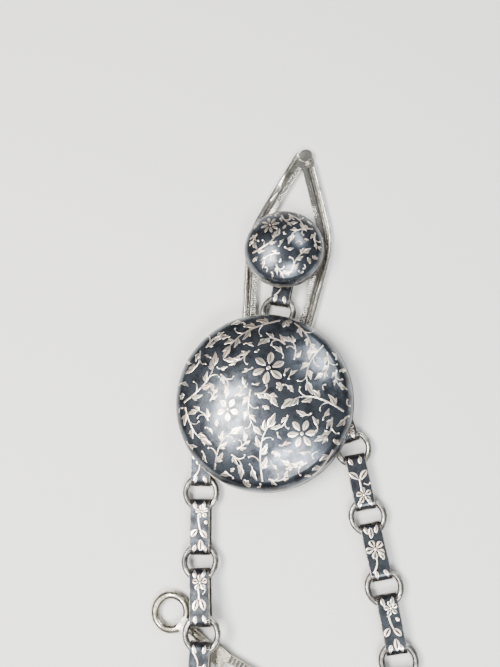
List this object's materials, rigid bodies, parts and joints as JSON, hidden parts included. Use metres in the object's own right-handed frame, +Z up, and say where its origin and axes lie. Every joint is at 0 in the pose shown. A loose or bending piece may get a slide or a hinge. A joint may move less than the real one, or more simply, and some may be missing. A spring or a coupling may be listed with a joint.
{
  "type": "pocket watch chain",
  "caption": "Niello silver waist-hook chain: domed medallions, a leaf-shaped sprung hook, two strands of rings and strap links, a swivel clasp and a key ring.",
  "frame": {"origin": "middle of the laid-out chain's footprint, on the surface it lies on", "axes": "+X to the right of the laid chain, +Y towards the waist hook, +Z up"},
  "size_m": [0.0411, 0.1296, 0.0085],
  "materials": {
    "niello": "polished niello with silver scrolls",
    "niello_strap": "silver strap with a niello front",
    "hook_silver": "milled and worn silver",
    "clasp_silver": "worn silver",
    "plate_silver": "plain tarnished silver",
    "ring_silver": "drawn silver wire, worn"
  },
  "bodies": {
    "large_medallion": {"large_medallion_cover": "niello", "large_medallion_back_plate": "plate_silver", "left_strand_eye": "ring_silver", "right_strand_eye": "ring_silver", "hook_base": "hook_silver", "hook_fixed_arm": "hook_silver", "hook_rivet": "hook_silver", "hook_spring": "hook_silver", "top_bail": "ring_silver"},
    "hook_sprung_arm": {"hook_sprung_arm": "hook_silver"},
    "top_ring": {"top_ring": "ring_silver"},
    "top_link": {"top_link": "niello_strap"},
    "small_medallion": {"small_medallion_cover": "niello", "small_medallion_back_plate": "plate_silver", "small_medallion_eye": "ring_silver"},
    "clasp": {"clasp_body": "clasp_silver", "clasp_neck_stud": "clasp_silver", "clasp_gate_rivet": "clasp_silver"},
    "clasp_bow": {"clasp_bow": "clasp_silver"},
    "clasp_gate": {"clasp_gate": "clasp_silver"},
    "left_link_1": {"left_link_1": "niello_strap"},
    "left_ring_1": {"left_ring_1": "ring_silver"},
    "left_link_2": {"left_link_2": "niello_strap"},
    "left_ring_2": {"left_ring_2": "ring_silver"},
    "left_link_3": {"left_link_3": "niello_strap"},
    "left_ring_3": {"left_ring_3": "ring_silver"},
    "left_link_4": {"left_link_4": "niello_strap"},
    "clasp_ring": {"clasp_ring": "ring_silver"},
    "right_link_1": {"right_link_1": "niello_strap"},
    "right_ring_1": {"right_ring_1": "ring_silver"},
    "right_link_2": {"right_link_2": "niello_strap"},
    "right_ring_2": {"right_ring_2": "ring_silver"},
    "right_link_3": {"right_link_3": "niello_strap"},
    "right_ring_3": {"right_ring_3": "ring_silver"},
    "right_link_4": {"right_link_4": "niello_strap"},
    "right_ring_4": {"right_ring_4": "ring_silver"},
    "right_link_5": {"right_link_5": "niello_strap"},
    "right_ring_5": {"right_ring_5": "ring_silver"},
    "right_link_6": {"right_link_6": "niello_strap"},
    "right_ring_6": {"right_ring_6": "ring_silver"},
    "right_link_7": {"right_link_7": "niello_strap"},
    "right_ring_7": {"right_ring_7": "ring_silver"},
    "right_link_8": {"right_link_8": "niello_strap"},
    "key_ring": {"key_ring": "ring_silver"}
  },
  "joints": [
    {"name": "hook_arm_open", "type": "hinge", "parent": "large_medallion", "child": "hook_sprung_arm", "pos_m": [-0.00086, 0.02073, 0.00007], "axis": [0, 0, -1], "range_deg": [0, 18], "stiffness_Nm_per_rad": 0.008, "springref_deg": -5.73},
    {"name": "top_ring_lift", "type": "hinge", "parent": "large_medallion", "child": "top_ring", "pos_m": [-0.00209, 0.03369, 0.00118], "axis": [0.9905, -0.1374, 0], "range_deg": [0, 12]},
    {"name": "top_link_swing", "type": "hinge", "parent": "top_ring", "child": "top_link", "pos_m": [-0.00175, 0.03615, 0.00118], "axis": [0, 0, 1], "range_deg": [-6, 6]},
    {"name": "small_medallion_lift", "type": "hinge", "parent": "top_link", "child": "small_medallion", "pos_m": [-0.00031, 0.04429, 0.00118], "axis": [0.9848, -0.1736, 0], "range_deg": [-3, 13]},
    {"name": "left_link_1_swing", "type": "hinge", "parent": "large_medallion", "child": "left_link_1", "pos_m": [-0.01348, 0.01729, 0.00118], "axis": [0, 0, 1], "range_deg": [-45, 8]},
    {"name": "left_ring_1_lift", "type": "hinge", "parent": "left_link_1", "child": "left_ring_1", "pos_m": [-0.0134, 0.00902, 0.00118], "axis": [0.9999, 0.0105, 0], "range_deg": [-38, 38]},
    {"name": "left_link_2_swing", "type": "hinge", "parent": "left_ring_1", "child": "left_link_2", "pos_m": [-0.01337, 0.00682, 0.00118], "axis": [0, 0, -1], "range_deg": [-8, 45]},
    {"name": "left_ring_2_lift", "type": "hinge", "parent": "left_link_2", "child": "left_ring_2", "pos_m": [-0.01308, -0.00144, 0.00118], "axis": [-0.9994, -0.0349, 0], "range_deg": [-38, 38]},
    {"name": "left_link_3_swing", "type": "hinge", "parent": "left_ring_2", "child": "left_link_3", "pos_m": [-0.01301, -0.0036, 0.0016], "axis": [-0.0068, 0.1941, 0.981], "range_deg": [-45, 8]},
    {"name": "left_ring_3_lift", "type": "hinge", "parent": "left_link_3", "child": "left_ring_3", "pos_m": [-0.01222, -0.01167, 0.0032], "axis": [0.9954, 0.0947, -0.0119], "range_deg": [-38, 38]},
    {"name": "left_link_4_swing", "type": "hinge", "parent": "left_ring_3", "child": "left_link_4", "pos_m": [-0.01201, -0.01386, 0.00324], "axis": [-0.0102, -0.0181, -0.9998], "range_deg": [-20, 6]},
    {"name": "clasp_ring_lift", "type": "hinge", "parent": "left_link_4", "child": "clasp_ring", "pos_m": [-0.01209, -0.02203, 0.00339], "axis": [-0.9999, 0.0099, 0.01], "range_deg": [0, 8]},
    {"name": "right_link_1_swing", "type": "hinge", "parent": "large_medallion", "child": "right_link_1", "pos_m": [0.00682, 0.02409, 0.00118], "axis": [0, 0, 1], "range_deg": [-8, 45]},
    {"name": "right_ring_1_lift", "type": "hinge", "parent": "right_link_1", "child": "right_ring_1", "pos_m": [0.00965, 0.01632, 0.00118], "axis": [0.9397, 0.342, 0], "range_deg": [-8, 38]},
    {"name": "right_link_2_swing", "type": "hinge", "parent": "right_ring_1", "child": "right_link_2", "pos_m": [0.0104, 0.01425, 0.00118], "axis": [0, 0, -1], "range_deg": [-45, 8]},
    {"name": "right_ring_2_lift", "type": "hinge", "parent": "right_link_2", "child": "right_ring_2", "pos_m": [0.01219, 0.00618, 0.00118], "axis": [-0.9763, -0.2164, 0], "range_deg": [-38, 38]},
    {"name": "right_link_3_swing", "type": "hinge", "parent": "right_ring_2", "child": "right_link_3", "pos_m": [0.01266, 0.00403, 0.00118], "axis": [0, 0, 1], "range_deg": [-8, 45]},
    {"name": "right_ring_3_lift", "type": "hinge", "parent": "right_link_3", "child": "right_ring_3", "pos_m": [0.01455, -0.00402, 0.00118], "axis": [0.9736, 0.2284, 0], "range_deg": [-38, 38]},
    {"name": "right_link_4_swing", "type": "hinge", "parent": "right_ring_3", "child": "right_link_4", "pos_m": [0.01506, -0.00616, 0.00118], "axis": [0, 0, -1], "range_deg": [-45, 8]},
    {"name": "right_ring_4_lift", "type": "hinge", "parent": "right_link_4", "child": "right_ring_4", "pos_m": [0.01663, -0.01428, 0.00118], "axis": [-0.9816, -0.1908, 0], "range_deg": [-38, 38]},
    {"name": "right_link_5_swing", "type": "hinge", "parent": "right_ring_4", "child": "right_link_5", "pos_m": [0.01705, -0.01644, 0.00118], "axis": [0, 0, 1], "range_deg": [-8, 45]},
    {"name": "right_ring_5_lift", "type": "hinge", "parent": "right_link_5", "child": "right_ring_5", "pos_m": [0.01749, -0.02469, 0.00118], "axis": [0.9986, 0.0523, 0], "range_deg": [-38, 38]},
    {"name": "right_link_6_swing", "type": "hinge", "parent": "right_ring_5", "child": "right_link_6", "pos_m": [0.0176, -0.02689, 0.00118], "axis": [0, 0, -1], "range_deg": [-45, 8]},
    {"name": "right_ring_6_lift", "type": "hinge", "parent": "right_link_6", "child": "right_ring_6", "pos_m": [0.01645, -0.03508, 0.00118], "axis": [-0.9903, 0.1392, 0], "range_deg": [-38, 38]},
    {"name": "right_link_7_swing", "type": "hinge", "parent": "right_ring_6", "child": "right_link_7", "pos_m": [0.01614, -0.03726, 0.00118], "axis": [0, 0, 1], "range_deg": [-8, 45]},
    {"name": "right_ring_7_lift", "type": "hinge", "parent": "right_link_7", "child": "right_ring_7", "pos_m": [0.01332, -0.04503, 0.00118], "axis": [0.9397, -0.342, 0], "range_deg": [-38, 38]},
    {"name": "right_link_8_swing", "type": "hinge", "parent": "right_ring_7", "child": "right_link_8", "pos_m": [0.01256, -0.0471, 0.00118], "axis": [0, 0, -1], "range_deg": [-45, 8]},
    {"name": "key_ring_lift", "type": "hinge", "parent": "right_link_8", "child": "key_ring", "pos_m": [0.00851, -0.05412, 0.00118], "axis": [-0.866, 0.5, 0], "range_deg": [-38, 38]},
    {"name": "clasp_on_ring", "type": "hinge", "parent": "clasp_ring", "child": "clasp", "pos_m": [-0.00973, -0.02523, 0.00195], "axis": [-0.0363, -0.9929, 0.1131], "range_deg": [0, 25]},
    {"name": "clasp_bow_swivel", "type": "hinge", "parent": "clasp", "child": "clasp_bow", "pos_m": [-0.0174, -0.01136, 0.00077], "axis": [0.7983, -0.6016, 0.0279], "range_deg": [-60, 60]},
    {"name": "clasp_gate_open", "type": "hinge", "parent": "clasp", "child": "clasp_gate", "pos_m": [-0.00942, -0.01688, 0.001], "axis": [-0.0491, -0.1112, -0.9926], "range_deg": [0, 20], "stiffness_Nm_per_rad": 0.001, "springref_deg": -5.73}
  ]
}
